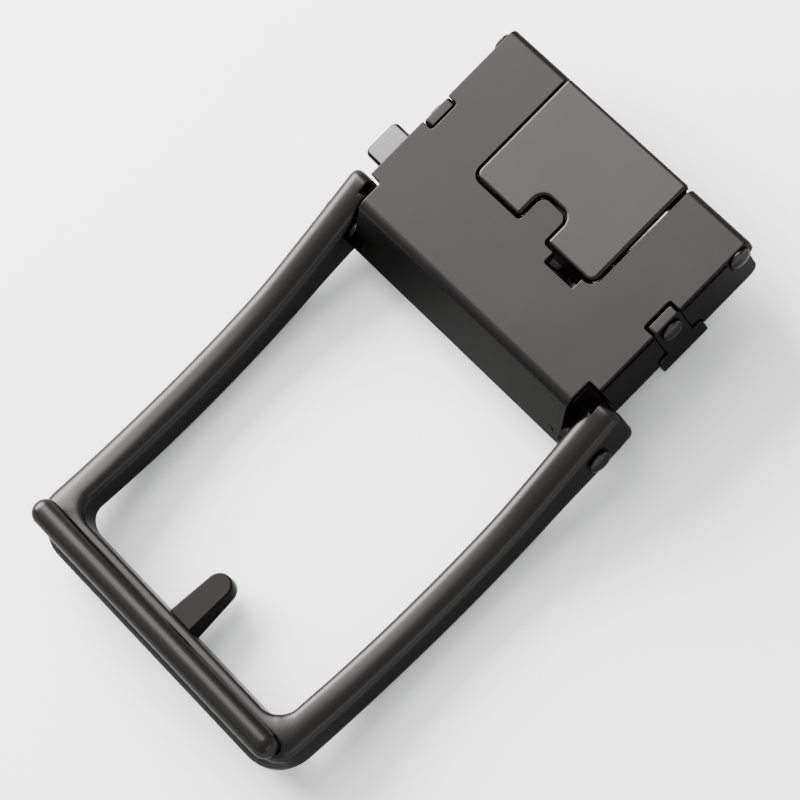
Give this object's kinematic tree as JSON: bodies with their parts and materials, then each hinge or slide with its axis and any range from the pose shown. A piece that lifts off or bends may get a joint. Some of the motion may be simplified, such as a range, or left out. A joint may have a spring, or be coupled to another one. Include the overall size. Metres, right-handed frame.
{
  "type": "belt buckle",
  "caption": "Clamp-type dress belt buckle: hinged rectangular frame with fixed hook peg and guard bar, strap box with lever, toothed jaw, side button and keeper loop.",
  "frame": {"origin": "middle of the keeper loop's outer face, the face the buckle's box lies on", "axes": "+X across the strap, +Y from the frame's crossbar towards the box's strap mouth, +Z from the outer face towards the wearer's side, where the lever is"},
  "size_m": [0.0462, 0.078, 0.011],
  "materials": {
    "plated_body": "black chrome plate, polished",
    "plated_pin": "black chrome plate, polished heads",
    "button_steel": "fine blasted, dark plated edges",
    "inner_steel": "plain nickel-plated steel",
    "spring_steel": "bright drawn spring steel"
  },
  "bodies": {
    "box": {"housing_cover": "plated_body", "keeper_loop": "plated_body", "jaw_shaft": "plated_pin", "lever_hinge_pin": "plated_pin", "jaw_spring": "spring_steel", "spring_stud": "inner_steel", "latch_spring": "spring_steel", "latch_bracket": "inner_steel", "guide_studs": "inner_steel", "pivot_rivet_left": "plated_pin", "pivot_rivet_right": "plated_pin", "pivot_washer_left": "inner_steel", "pivot_washer_right": "inner_steel"},
    "hinged_frame": {"frame": "plated_body", "guard_bar": "plated_body", "bar_dowel_left": "inner_steel", "bar_dowel_right": "inner_steel", "hook_peg": "plated_body", "peg_dowel": "inner_steel"},
    "lever": {"clamp_lever": "plated_body"},
    "jaw": {"clamp_jaw": "inner_steel"},
    "latch": {"latch_slide": "button_steel"}
  },
  "joints": [
    {"name": "frame_pivot", "type": "hinge", "parent": "box", "child": "hinged_frame", "pos_m": [0, -0.0155, 0.0039], "axis": [1, 0, 0], "range_deg": [-95, 45]},
    {"name": "lever_hinge", "type": "hinge", "parent": "box", "child": "lever", "pos_m": [0, 0.0106, 0.0083], "axis": [1, 0, 0], "range_deg": [-105, 0]},
    {"name": "jaw_tilt", "type": "hinge", "parent": "box", "child": "jaw", "pos_m": [0, 0, 0.0077], "axis": [1, 0, 0], "range_deg": [0, 12]},
    {"name": "latch_travel", "type": "slide", "parent": "box", "child": "latch", "axis": [1, 0, 0], "range_m": [0, 0.0026], "stiffness_N_per_m": 150, "springref_m": -0.001, "deforming": ["latch_spring"]}
  ],
  "couplings": [
    {"joint": "jaw_tilt", "follows": "lever_hinge", "ratio": -0.11429}
  ]
}
